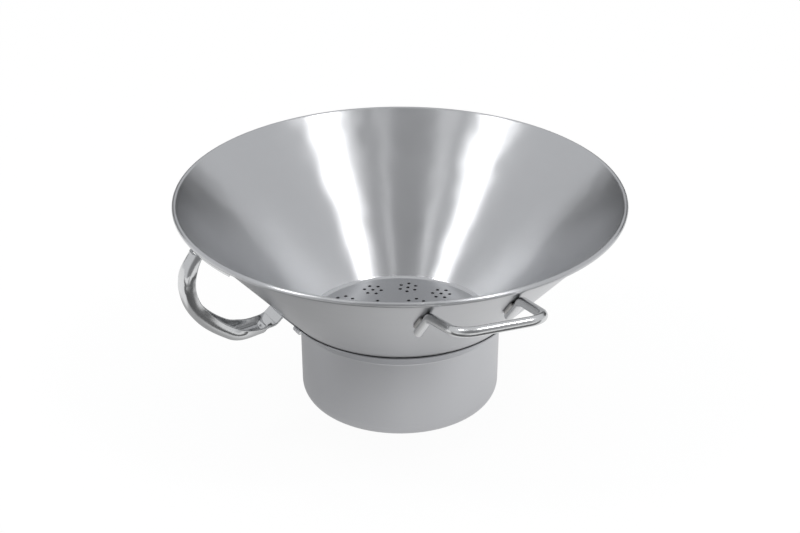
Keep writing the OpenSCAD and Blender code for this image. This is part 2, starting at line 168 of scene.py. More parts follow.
@dataclass(frozen=True)
class SheetLine:
    """Middle line of a bent sheet in the plane of radius and height.

    A step is (length, 0) where it runs straight, or (bending radius, turn in degrees), positive to the left.
    """

    start: tuple[float, float]
    heading: float
    steps: tuple[tuple[float, float], ...]

    def samples(self, part: float = 5.0, guard: float = 0.25) -> tuple[Array, Array]:
        """Walks the line. A straight step gets a sample close to each end, so that shading stays flat along it.

        Args:
            part: largest turn between two samples of a bend, in degrees.
            guard: distance of the extra samples from a straight step's ends.

        Returns:
            Points (n, 2) and headings in radians (n,).
        """
        p, h = np.array(self.start, dtype=float), math.radians(self.heading)
        points, headings = [p[None, :]], [np.array([h])]
        for size, turn in self.steps:
            if turn == 0.0:
                at = np.array([guard, size - guard, size])
                points.append(p + at[:, None] * np.array([math.cos(h), math.sin(h)]))
                headings.append(np.full(3, h))
            else:
                n = max(2, math.ceil(abs(turn) / part))
                w = math.radians(turn) * np.arange(1, n + 1) / n
                side = math.copysign(1.0, turn)
                centre = p + side * size * np.array([-math.sin(h), math.cos(h)])
                points.append(centre - side * size * np.stack([-np.sin(h + w), np.cos(h + w)], axis=1))
                headings.append(h + w)
            p, h = points[-1][-1], float(headings[-1][-1])
        return np.concatenate(points), np.concatenate(headings)

    def outline(self, thickness: float) -> Array:
        """Closed outline of the sheet: its right side there, its left side back.

        Args:
            thickness: of the sheet.

        Returns:
            Points (2n, 2), counter-clockwise.
        """
        p, h = self.samples()
        side = 0.5 * thickness * np.stack([-np.sin(h), np.cos(h)], axis=1)
        return np.concatenate([p - side, (p + side)[::-1]])


def revolve(outline: Array, segments: int) -> tuple[Array, Array]:
    """Turns a closed outline (radius, height) about the axis: point (r cos a, r sin a, z) for each angle a.

    Args:
        outline: points of the section, counter-clockwise.
        segments: steps round the axis.

    Returns:
        Vertices and quads of the closed ring.
    """
    a = 2.0 * np.pi * np.arange(segments) / segments
    r, z = outline[:, 0], outline[:, 1]
    points = np.stack([np.outer(np.cos(a), r), np.outer(np.sin(a), r), np.tile(z, (segments, 1))], axis=-1)
    return points.reshape(-1, 3), grid_faces(segments, len(outline), wrap_rows=True, wrap_columns=True, flip=False)


@dataclass(frozen=True)
class Cone:
    """The bowl's outer face, which every fitting follows."""

    seat_r: float = 100.972
    seat_z: float = 88.7158
    angle: float = 42.4006

    @property
    def normal(self) -> Array:
        """Unit vector out of the sheet as (radius, height)."""
        a = math.radians(self.angle)
        return np.array([math.cos(a), -math.sin(a)])

    @property
    def slope(self) -> Array:
        """Unit vector up the slope as (radius, height)."""
        a = math.radians(self.angle)
        return np.array([math.sin(a), math.cos(a)])

    def radius(self, z: Array | float, off: float = 0.0) -> Array | float:
        """Radius at a height, on a layer that lies off the face.

        Args:
            z: height.
            off: distance out of the face.

        Returns:
            Radius: it grows with height by the tangent of the slope's angle.
        """
        a = math.radians(self.angle)
        return self.seat_r + (z - self.seat_z) * math.tan(a) + off / math.cos(a)


class Lay(Enum):
    """Direction of a finish's fine grooves."""

    ROUND = "turned round the bowl's axis"
    NONE = "without direction"


@dataclass(frozen=True)
class SteelFinish:
    """One finish of stainless steel.

    The reflections carry the look: a groove direction for spun sheet, a roughness that varies with the polishing,
    and a fine bump of the grooves.
    """

    name: str
    colour: str
    roughness: float
    lay: Lay = Lay.NONE
    anisotropy: float = 0.0
    roughness_swing: float = 0.05
    groove_mm: float = 0.8
    bump_mm: float = 0.0
    cloud_mm: float = 60.0
    # Under this height the sheet is still as rolled: the spinning tool has not touched it
    rolled_below_mm: float = 0.0
    # Shallow dents that spinning leaves: they bend the reflections a little
    wave_mm: float = 0.0
    wave_high_mm: float = 0.0
    rolled_roughness: float = 0.10

    def build(self) -> bpy.types.Material:
        """Makes the material.

        Returns:
            Principled metal whose roughness wavers with soft clouds and with groove-wide rings.
        """
        material = bpy.data.materials.new(self.name)
        material.use_nodes = True
        tree = material.node_tree
        tree.nodes.clear()
        place = add_node(tree, "ShaderNodeTexCoord")
        where = place.outputs["Object"]
        shader = add_node(tree, "ShaderNodeBsdfPrincipled", {"Metallic": 1.0, "Anisotropic": self.anisotropy,
                                                          "Anisotropic Rotation": 0.25})
        grooves = self._groove_noise(tree, where)
        clouds = add_node(tree, "ShaderNodeTexNoise", {"Scale": 1000.0 / self.cloud_mm, "Detail": 3.0},
                          {"Vector": where}).outputs["Fac"]
        both = add_node(tree, "ShaderNodeMath", {"operation": "ADD"}, {0: grooves, 1: clouds}).outputs[0]
        rough = add_node(tree, "ShaderNodeMapRange",
                         {1: 0.6, 2: 1.4, 3: self.roughness - self.roughness_swing,
                          4: self.roughness + self.roughness_swing}, {0: both}).outputs[0]
        if self.rolled_below_mm:
            height = add_node(tree, "ShaderNodeSeparateXYZ", links={0: where}).outputs[2]
            worked = add_node(tree, "ShaderNodeMapRange", {1: self.rolled_below_mm * MM,
                                                           2: (self.rolled_below_mm + 2.0) * MM}, {0: height})
            rough = add_node(tree, "ShaderNodeMix", {2: self.rolled_roughness},
                             {0: worked.outputs[0], 3: rough}).outputs[0]
        tree.links.new(rough, shader.inputs["Roughness"])
        tint = add_node(tree, "ShaderNodeMix", {"data_type": "RGBA", 6: self._shade(0.93), 7: linear(self.colour)},
                        {0: clouds}).outputs[2]
        tree.links.new(tint, shader.inputs["Base Color"])
        if self.lay is Lay.ROUND:
            tree.links.new(self._round_tangent(tree, where), shader.inputs["Tangent"])
        if self.bump_mm:
            bump = add_node(tree, "ShaderNodeBump", {"Strength": 1.0, "Distance": self.bump_mm * MM},
                            {"Height": grooves})
            tree.links.new(bump.outputs["Normal"], shader.inputs["Normal"])
            if self.wave_mm:
                wave = add_node(tree, "ShaderNodeTexNoise", {"Scale": 1000.0 / self.wave_mm, "Detail": 1.0},
                                {"Vector": where}).outputs["Fac"]
                dents = add_node(tree, "ShaderNodeBump", {"Strength": 1.0, "Distance": self.wave_high_mm * MM},
                                 {"Height": wave}).outputs["Normal"]
                tree.links.new(dents, bump.inputs["Normal"])
        add_node(tree, "ShaderNodeOutputMaterial", links={"Surface": shader.outputs["BSDF"]})
        return material

    def _shade(self, factor: float) -> tuple[float, float, float, float]:
        """The finish's colour, darkened by a factor."""
        r, g, b, _ = linear(self.colour)
        return (r * factor, g * factor, b * factor, 1.0)

    def _groove_noise(self, tree: bpy.types.NodeTree, where: bpy.types.NodeSocket) -> bpy.types.NodeSocket:
        """Noise of the tool marks.

        Args:
            tree: material's tree.
            where: object coordinates.

        Returns:
            On turned sheet a noise of radius and height only, so that it forms rings, else a fine grain.
        """
        if self.lay is not Lay.ROUND:
            return add_node(tree, "ShaderNodeTexNoise", {"Scale": 1000.0 / self.groove_mm, "Detail": 2.0},
                            {"Vector": where}).outputs["Fac"]
        axes = add_node(tree, "ShaderNodeSeparateXYZ", links={0: where}).outputs
        flat = add_node(tree, "ShaderNodeCombineXYZ", links={0: axes[0], 1: axes[1]}).outputs[0]
        radius = add_node(tree, "ShaderNodeVectorMath", {"operation": "LENGTH"}, {0: flat}).outputs["Value"]
        ring = add_node(tree, "ShaderNodeCombineXYZ", links={0: radius, 2: axes[2]}).outputs[0]
        fine = add_node(tree, "ShaderNodeTexNoise", {"Scale": 1000.0 / self.groove_mm, "Detail": 2.0},
                        {"Vector": ring}).outputs["Fac"]
        wide = add_node(tree, "ShaderNodeTexNoise", {"Scale": 1000.0 / (9.0 * self.groove_mm), "Detail": 1.0},
                        {"Vector": ring}).outputs["Fac"]
        return add_node(tree, "ShaderNodeMix", {0: 0.45}, {2: fine, 3: wide}).outputs[0]

    @staticmethod
    def _round_tangent(tree: bpy.types.NodeTree, where: bpy.types.NodeSocket) -> bpy.types.NodeSocket:
        """Direction of turned grooves: the axis crossed with the point, turned into world space with the piece."""
        round_ = add_node(tree, "ShaderNodeVectorMath", {"operation": "CROSS_PRODUCT", 0: (0.0, 0.0, 1.0)},
                          {1: where}).outputs[0]
        turned = add_node(tree, "ShaderNodeVectorTransform",
                          {"vector_type": "VECTOR", "convert_from": "OBJECT", "convert_to": "WORLD"},
                          {0: round_}).outputs[0]
        return add_node(tree, "ShaderNodeVectorMath", {"operation": "NORMALIZE"}, {0: turned}).outputs[0]


@dataclass
class Finishes:
    """The finishes of the object, one material each."""

    # Spun sheet: the spinning tool leaves fine rings, so a lamp's reflection opens into a fan.
    spun: bpy.types.Material = field(default_factory=lambda: SteelFinish(
        "spun_satin_stainless", "#CFD0D2", 0.30, Lay.ROUND, 0.9, 0.03, 0.9, 0.0012, rolled_below_mm=82.0,
        wave_mm=48.0, wave_high_mm=1.0).build())
    # Deep-drawn and belt-polished pot: the same steel with finer rings.
    drawn: bpy.types.Material = field(default_factory=lambda: SteelFinish(
        "drawn_satin_stainless", "#C9CACD", 0.34, Lay.ROUND, 0.8, 0.03, 0.8, 0.001).build())
    # Pressed strip, buffed: sharp light and dark bands.
    buffed: bpy.types.Material = field(default_factory=lambda: SteelFinish(
        "buffed_pressed_stainless", "#DADBDC", 0.16, roughness_swing=0.04, groove_mm=2.5, cloud_mm=25.0).build())
    # Drawn rod, buffed bright.
    rod: bpy.types.Material = field(default_factory=lambda: SteelFinish(
        "buffed_drawn_rod_stainless", "#DADBDC", 0.21, roughness_swing=0.03, groove_mm=2.0, cloud_mm=20.0).build())
    # Blanked plate: rolled satin face.
    plate: bpy.types.Material = field(default_factory=lambda: SteelFinish(
        "rolled_plate_stainless", "#C4C5C8", 0.3, roughness_swing=0.05, groove_mm=0.6, cloud_mm=12.0).build())
    # Weld metal brushed after welding: duller, with a grain.
    weld: bpy.types.Material = field(default_factory=lambda: SteelFinish(
        "brushed_weld_stainless", "#B4B3B2", 0.42, roughness_swing=0.08, groove_mm=0.7, bump_mm=0.05,
        cloud_mm=4.0).build())
    # Cold-rolled spring strip.
    spring: bpy.types.Material = field(default_factory=lambda: SteelFinish(
        "cold_rolled_spring_stainless", "#CBCCCE", 0.22, roughness_swing=0.04, groove_mm=0.5, cloud_mm=8.0).build())


def dress(obj: bpy.types.Object, material: bpy.types.Material) -> None:
    """Gives a piece or a CAD node its finish.

    Args:
        obj: piece that is dressed.
        material: its finish.
    """
    if not obj.material_slots:
        obj.data.materials.append(material)
    for place in obj.material_slots:
        place.material = material


def settle(obj: bpy.types.Object, node: str, body: Body, material: bpy.types.Material) -> None:
    """Lets a finished piece take a CAD node's place and move with its body.

    Args:
        obj: the piece.
        node: CAD node that it stands for.
        body: body that it rides on.
        material: its finish.
    """
    dress(obj, material)
    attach(obj, body.value)
    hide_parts(node)
    LOG.info("%s: %d faces, rides on %s", obj.name, len(obj.data.polygons), body.value)


@dataclass
class HoleCluster:
    """A ring of hole clusters in the bowl's floor."""

    ring_r: float
    count: int
    first: float
    twist: float

    def centres(self, pitch: float) -> Array:
        """Centres of all the holes: seven in each cluster, one in the middle and six round it.

        Args:
            pitch: distance from the middle hole to the others.

        Returns:
            Rows of x, y.
        """
        k = np.radians(60.0 * np.arange(6) + self.twist)
        local = np.concatenate([[[0.0, 0.0]], pitch * np.stack([np.cos(k), np.sin(k)], axis=1)])
        local = local + np.array([self.ring_r, 0.0])
        a = np.radians(self.first + 360.0 / self.count * np.arange(self.count))
        x = np.outer(np.cos(a), local[:, 0]) - np.outer(np.sin(a), local[:, 1])
        y = np.outer(np.sin(a), local[:, 0]) + np.outer(np.cos(a), local[:, 1])
        return np.stack([x.ravel(), y.ravel()], axis=1)


@dataclass
class Bowl:
    """Spun cone with its rolled rim and its perforated floor."""

    cone: Cone
    sheet: float = 1.0
    bead_r: float = 2.8
    bead_x: float = 222.2
    bead_z: float = 218.805
    floor_z: float = 81.605
    corner_r: float = 6.5
    hole_d: float = 3.6
    hole_pitch: float = 8.85
    segments: int = 360
    hole_sides: int = 28
    clusters: tuple[HoleCluster, ...] = (
        HoleCluster(0.0, 1, 0.0, 0.0), HoleCluster(40.5, 6, 38.1, 20.0), HoleCluster(71.5, 12, 25.3, 0.0))

    def wall_line(self) -> SheetLine:
        """Middle line of the sheet from the floor's edge to the end of the rolled rim."""
        rise = 90.0 - self.cone.angle
        mid = self.floor_z - self.sheet / 2
        corner = float(self.cone.radius(mid, -self.sheet / 2))
        back = self.corner_r * math.tan(math.radians(rise / 2))
        bead = np.array([self.bead_x, self.bead_z]) - self.cone.normal * (self.bead_r - self.sheet / 2)
        run = float(np.hypot(bead[0] - corner, bead[1] - mid))
        return SheetLine((corner - back, mid), 0.0,
                         ((self.corner_r, rise), (run - back, 0.0), (self.bead_r - self.sheet / 2, -297.0)))

    def floor_mesh(self, edge_r: float) -> tuple[Array, list[list[int]]]:
        """Flat floor with its holes: a triangulation of the disc between the rim of the floor and the hole edges.

        Args:
            edge_r: radius at which the floor meets the corner.

        Returns:
            Vertices and faces of top side, under side and hole walls.
        """
        a = 2.0 * np.pi * np.arange(self.segments) / self.segments
        edge = edge_r * np.stack([np.cos(a), np.sin(a)], axis=1)
        b = 2.0 * np.pi * np.arange(self.hole_sides) / self.hole_sides
        ring = 0.5 * self.hole_d * np.stack([np.cos(b), np.sin(b)], axis=1)
        centres = np.concatenate([c.centres(self.hole_pitch) for c in self.clusters])
        holes = (centres[:, None, :] + ring[None, :, :]).reshape(-1, 2)
        flat = np.concatenate([edge, holes])
        n, m, h = self.segments, self.hole_sides, len(centres)
        loops = [list(range(n))] + [list(range(n + i * m, n + (i + 1) * m)) for i in range(h)]
        edges = [(loop[i], loop[(i + 1) % len(loop)]) for loop in loops for i in range(len(loop))]
        found, _, tris, origin, _, _ = delaunay_2d_cdt([Vector(p) for p in flat.tolist()], edges, [], 0, 1e-7)
        old = np.array([o[0] if o else 0 for o in origin])
        tri = old[np.array([t for t in tris if len(t) == 3])]
        mid = flat[tri].mean(axis=1)
        away = np.linalg.norm(mid[:, None, :] - centres[None, :, :], axis=2).min(axis=1)
        tri = tri[(away > 0.5 * self.hole_d) & (np.linalg.norm(mid, axis=1) < edge_r)]
        up = np.cross(flat[tri[:, 1]] - flat[tri[:, 0]], flat[tri[:, 2]] - flat[tri[:, 0]]) > 0
        tri[~up] = tri[~up][:, ::-1]
        count = len(flat)
        top = np.column_stack([flat, np.full(count, self.floor_z)])
        low = np.column_stack([flat, np.full(count, self.floor_z - self.sheet)])
        i = n + np.arange(h * m).reshape(h, m)
        j = np.roll(i, -1, axis=1)
        walls = np.stack([i, j, j + count, i + count], axis=-1).reshape(-1, 4)
        faces = tri.tolist() + (tri[:, ::-1] + count).tolist() + walls.tolist()
        return np.concatenate([top, low]), faces

    def build(self, finishes: Finishes) -> None:
        """Makes the bowl: wall and floor share their edge ring, and doubles are merged.

        Args:
            finishes: the object's finishes.
        """
        outline = self.wall_line().outline(self.sheet)
        a = 2.0 * np.pi * np.arange(self.segments) / self.segments
        r, z = outline[:, 0], outline[:, 1]
        wall = np.stack([np.outer(np.cos(a), r), np.outer(np.sin(a), r), np.tile(z, (self.segments, 1))], axis=-1)
        wall_faces = grid_faces(self.segments, len(outline), wrap_rows=True)
        floor, floor_faces = self.floor_mesh(float(r[0]))
        points = np.concatenate([wall.reshape(-1, 3), floor])
        faces = wall_faces.tolist() + [[v + wall.shape[0] * wall.shape[1] for v in f] for f in floor_faces]
        obj = add_mesh("bowl_spun", points, faces)
        merge_doubles(obj)
        settle(obj, "bowl", Body.BOWL, finishes.spun)


def merge_doubles(obj: bpy.types.Object, distance_mm: float = 0.002) -> None:
    """Welds vertices that lie on each other and turns all faces outwards.

    Args:
        obj: mesh object.
        distance_mm: largest distance that is welded.
    """
    work = bmesh.new()
    work.from_mesh(obj.data)
    bmesh.ops.remove_doubles(work, verts=work.verts, dist=distance_mm * MM)
    bmesh.ops.recalc_face_normals(work, faces=work.faces)
    work.to_mesh(obj.data)
    work.free()
    obj.data.set_sharp_from_angle(angle=math.radians(30.0))
    obj.data.update()


@dataclass
class Pot:
    """Deep-drawn fat pot with its flared collar and the slot for the hinge barrel."""

    cone: Cone
    sheet: float = 1.0
    outer_d: float = 202.0
    height: float = 86.0
    taper: float = 0.8
    corner_r: float = 17.9
    throat_r: float = 3.5
    flare_angle: float = 45.0006
    flare_len: float = 19.0
    segments: int = 360
    notch_r: float = 2.75
    notch_w: float = 12.0
    notch_up: float = 11.5
    hinge: tuple[float, float] = (115.097, 99.735)

    def line(self) -> SheetLine:
        """Middle line of the sheet from the base's centre to the collar's edge."""
        mid = self.outer_d / 2 - self.sheet / 2
        turn = 90.0 - self.taper
        back = self.corner_r * math.tan(math.radians(turn / 2))
        tall = self.height - self.sheet / 2
        foot = mid - tall * math.tan(math.radians(self.taper)) - back
        return SheetLine((0.0, self.sheet / 2), 0.0, (
            (foot, 0.0), (self.corner_r, turn), (tall / math.cos(math.radians(self.taper)) - back, 0.0),
            (self.throat_r, self.flare_angle - turn), (self.flare_len, 0.0)))

    def build(self, finishes: Finishes) -> None:
        """Makes the pot and cuts the slot.

        Args:
            finishes: the object's finishes.
        """
        outline = self.line().outline(self.sheet)
        points, faces = revolve(outline, self.segments)
        obj = add_mesh("pot_drawn", points, faces.tolist())
        merge_doubles(obj)
        self._cut_notch(obj)
        settle(obj, "pot", Body.POT, finishes.drawn)

    def _cut_notch(self, obj: bpy.types.Object) -> None:
        """Cuts the barrel's slot out of the collar: round below the axis and open at the collar's edge.

        Args:
            obj: the pot.
        """
        k = np.pi * np.arange(25) / 24
        out = self.notch_r * np.concatenate([np.cos(k), [-1.0, 1.0]])
        up = np.concatenate([-self.notch_r * np.sin(k), [self.notch_up, self.notch_up]])
        line = np.array(self.hinge) + out[:, None] * self.cone.normal + up[:, None] * self.cone.slope
        ends = [np.stack([-line[:, 0], np.full(27, s * self.notch_w / 2), line[:, 1]], axis=1) for s in (-1.0, 1.0)]
        sides = grid_faces(2, 27, wrap_columns=True).tolist()
        tool = add_mesh("notch_tool", np.concatenate(ends),
                        sides + [list(range(27))[::-1], list(range(27, 54))])
        merge_doubles(tool)
        cut = obj.modifiers.new("notch", "BOOLEAN")
        cut.operation, cut.solver, cut.object = "DIFFERENCE", "EXACT", tool
        graph = bpy.context.evaluated_depsgraph_get()
        mesh = bpy.data.meshes.new_from_object(obj.evaluated_get(graph))
        obj.modifiers.clear()
        obj.data = mesh
        bpy.data.objects.remove(tool)
        mesh.set_sharp_from_angle(angle=math.radians(30.0))


@dataclass
class LoopHandle:
    """Pressed loop: one strip swept along the line of its free edges, a channel that flattens at the foot.

    Radii and straight lengths of the steps are shares of the wall's run from the hinge to the rolled rim.
    """

    cone: Cone
    strap_t: float = 2.0
    strap_w: float = 22.5
    foot_w: float = 28.5
    start: tuple[float, float] = (215.1, 211.814)
    turn_from_cone: float = -99.6
    wall_run: float = 160.156
    lean_share: float = 0.2
    plate_t: float = 1.5
    seam: float = 0.02
    shares: tuple[tuple[float, float], ...] = (
        (0.408, -19.05), (0.275, -21.9), (0.273, -22.65), (0.59, -28.2), (0.296, -36.75),
        (0.06, 0), (0.05, -36), (0.042, 0))
    # Sections: step, share of it, developed width over width, bend of one side in degrees
    sections: tuple[tuple[float, float, float, float], ...] = (
        (0, 0.0, 1.15, 60), (1, 0.5, 1.57, 96), (2, 0.0, 1.68, 98), (3, 0.2, 2.01, 107),
        (4, 0.0, 1.68, 106), (5, 0.0, 1.10, 68), (5, 0.6, 1.02, 36), (6, 0.5, 1.0, 0), (8, 0.0, 1.0, 0))
    stations: int = 260
    side: int = 30
    bar_in: float = 219.3
    bar_low: float = 211.834
    bar_h: float = 4.3
    bar_angle: float = 32.0

    @property
    def steps(self) -> tuple[tuple[float, float], ...]:
        """Steps of the edge line in millimetres."""
        return tuple((share * self.wall_run, turn) for share, turn in self.shares)

    def _lengths(self) -> Array:
        """Length of each step: its own where it runs straight, else radius times turn."""
        return np.array([s if t == 0 else s * abs(math.radians(t)) for s, t in self.steps])

    def _walk(self, q: Array) -> tuple[Array, Array]:
        """Points and headings on the edge line at the lengths q.

        Args:
            q: lengths from the start, rising.

        Returns:
            Points (n, 2) and headings in radians (n,): each arc turns its heading in step with its length.
        """
        points, headings = np.zeros((len(q), 2)), np.zeros(len(q))
        p, h, done = np.array(self.start, dtype=float), math.radians(self.cone.angle + self.turn_from_cone), 0.0
        for (size, turn), length in zip(self.steps, self._lengths()):
            inside = q >= done - 1e-9
            s = q[inside] - done
            rate = math.radians(turn) / length
            points[inside], headings[inside] = self._advance(p, h, s, rate)
            last, turned = self._advance(p, h, np.array([length]), rate)
            p, h, done = last[0], float(turned[0]), done + length
        return points, headings

    @staticmethod
    def _advance(p: Array, h: float, s: Array, rate: float) -> tuple[Array, Array]:
        """Moves along an arc of the given turning rate: the chord formula, or a line where the rate is zero."""
        if rate == 0.0:
            return p + s[:, None] * np.array([math.cos(h), math.sin(h)]), np.full(len(s), h)
        g = h + rate * s
        return p + np.stack([np.sin(g) - math.sin(h), math.cos(h) - np.cos(g)], axis=1) / rate, g

    def _section(self, q: Array, column: int) -> Array:
        """Interpolates one column of the sections with a smooth step between its rows."""
        ends = np.concatenate([[0.0], np.cumsum(self._lengths())])
        at = np.array([ends[int(r[0])] + (r[1] * self._lengths()[int(r[0])] if r[0] < len(self.steps) else 0.0)
                       for r in self.sections])
        value = np.array([r[column] for r in self.sections], dtype=float)
        k = np.clip(np.searchsorted(at, q, side="left") - 1, 0, len(at) - 2)
        return value[k] + (value[k + 1] - value[k]) * ease((q - at[k]) / (at[k + 1] - at[k]))

    def rings(self) -> Array:
        """Every section in space.

        The sheet's middle line runs out from the crown, turning with a smooth step, and is offset by half the
        thickness. The thickness closes to a round edge over the last millimetre.

        Returns:
            Points (stations, ring, 3).
        """
        ends = np.concatenate([[0.0], np.cumsum(self._lengths())])
        q = np.linspace(0.0, ends[-1], self.stations)
        width = self.strap_w + (self.foot_w - self.strap_w) * ease((q - ends[3]) / (ends[6] - ends[3]))
        bend = np.radians(self._section(q, 3))[:, None]
        half = (self._section(q, 2) * width / 2)[:, None]
        v = 1.0 - (1.0 - np.linspace(0.0, 1.0, self.side + 1)) ** 1.35
        mid, gap = 0.5 * (v[1:] + v[:-1]), np.diff(v)
        lean = bend * ease((mid - 0.12) / 0.72)[None, :]
        zero = np.zeros((len(q), 1))
        across = np.concatenate([zero, np.cumsum(half * gap * np.cos(lean), axis=1)], axis=1)
        down = np.concatenate([zero, np.cumsum(half * gap * np.sin(lean), axis=1)], axis=1)
        turn = bend * ease((v - 0.12) / 0.72)[None, :]
        wide = (across + 0.5 * self.strap_t * np.sin(turn)).max(axis=1, keepdims=True)
        across = across * (width[:, None] / 2) / wide
        left = half * (1.0 - v)[None, :]
        thick = 0.5 * self.strap_t * np.sqrt(np.clip(1.0 - (1.0 - np.clip(left / 0.9, 0.0, 1.0)) ** 2, 0.0, 1.0))
        flat = 0.5 * self.strap_t
        out = np.stack([across + thick * np.sin(turn), down - thick * np.cos(turn)], axis=-1)
        inn = np.stack([across - thick * np.sin(turn), down + thick * np.cos(turn)], axis=-1)
        edge = np.maximum(down[:, -1] + flat * np.cos(turn[:, -1]), down[:, -1] - flat * np.cos(turn[:, -1]))
        mirror = np.array([-1.0, 1.0])
        ring = np.concatenate([(out * mirror)[:, ::-1], out[:, 1:], inn[:, -2::-1], (inn * mirror)[:, 1:-1]], axis=1)
        height = edge[:, None] - ring[:, :, 1]
        return self._place(q, ring[:, :, 0], height)

    def _place(self, q: Array, across: Array, height: Array) -> Array:
        """Sets the sections on the edge line, leans the first ones into the cut along the bar, and cuts the last to
        the foot plate.

        Args:
            q: length of each section from the start.
            across: distance of each point to the side.
            height: distance of each point out of the edge line.

        Returns:
            Points (stations, ring, 3): the handle stands in the plane of the negative X axis.
        """
        p, h = self._walk(q)
        cos, sin = np.cos(h)[:, None], np.sin(h)[:, None]
        r = p[:, :1] - sin * height
        z = p[:, 1:] + cos * height
        lean = -height * cos / sin * np.clip(1.0 - q / (self.lean_share * self.wall_run), 0.0, 1.0)[:, None] ** 2
        r, z = r + lean * cos, z + lean * sin
        slope = math.tan(math.radians(self.cone.angle))
        wall = self.cone.radius(z[-1], self.plate_t + 2 * self.seam) - across[-1] ** 2 / (2 * self.cone.radius(z[-1]))
        foot = (wall - r[-1]) / (cos[-1] - slope * sin[-1])
        r[-1], z[-1] = r[-1] + foot * cos[-1], z[-1] + foot * sin[-1]
        return np.stack([-r, across, z], axis=-1)

    def build(self, finishes: Finishes) -> None:
        """Makes the loop and the rim bar that carries it.

        Args:
            finishes: the object's finishes.
        """
        rings = self.rings()
        n, m = rings.shape[:2]
        faces = grid_faces(n, m, wrap_columns=True).tolist()
        faces += self._caps(m, 0) + self._caps(m, (n - 1) * m)
        obj = add_mesh("loop_handle_pressed", rings.reshape(-1, 3), faces, 40.0)
        merge_doubles(obj, 0.0005)
        settle(obj, "loop_handle", Body.BOWL, finishes.buffed)
        self._build_bar(finishes)

    def _caps(self, m: int, first: int) -> list[list[int]]:
        """Strips of quads that close an end section across the sheet's thickness.

        Args:
            m: points in a section.
            first: number of the section's first point.

        Returns:
            Faces that join each outer point to the inner point opposite.
        """
        k = np.arange(2 * self.side)
        other = (m - k) % m
        beyond = (m - k - 1) % m
        quads = np.stack([k, k + 1, beyond, other], axis=1) + first
        return [list(dict.fromkeys(face)) for face in quads.tolist()]

    def _build_bar(self, finishes: Finishes) -> None:
        """Makes the rim bar: a rectangle with broken edges turned through the bar's angle.

        Args:
            finishes: the object's finishes.
        """
        t, high, c = self.strap_t, self.bar_h, 0.3
        section = np.array([[0, c], [c, 0], [t - c, 0], [t, c], [t, high - c], [t - c, high], [c, high], [0, high - c]],
                           dtype=float) + np.array([self.bar_in, self.bar_low])
        a = np.radians(180.0 + np.linspace(-0.5, 0.5, 41) * self.bar_angle)
        points = np.stack([np.outer(np.cos(a), section[:, 0]), np.outer(np.sin(a), section[:, 0]),
                           np.tile(section[:, 1], (41, 1))], axis=-1).reshape(-1, 3)
        faces = grid_faces(41, 8, wrap_columns=True).tolist() + [list(range(8)), list(range(320, 328))[::-1]]
        obj = add_mesh("rim_bar_strip", points, faces)
        merge_doubles(obj)
        settle(obj, "rim_bar", Body.BOWL, finishes.buffed)


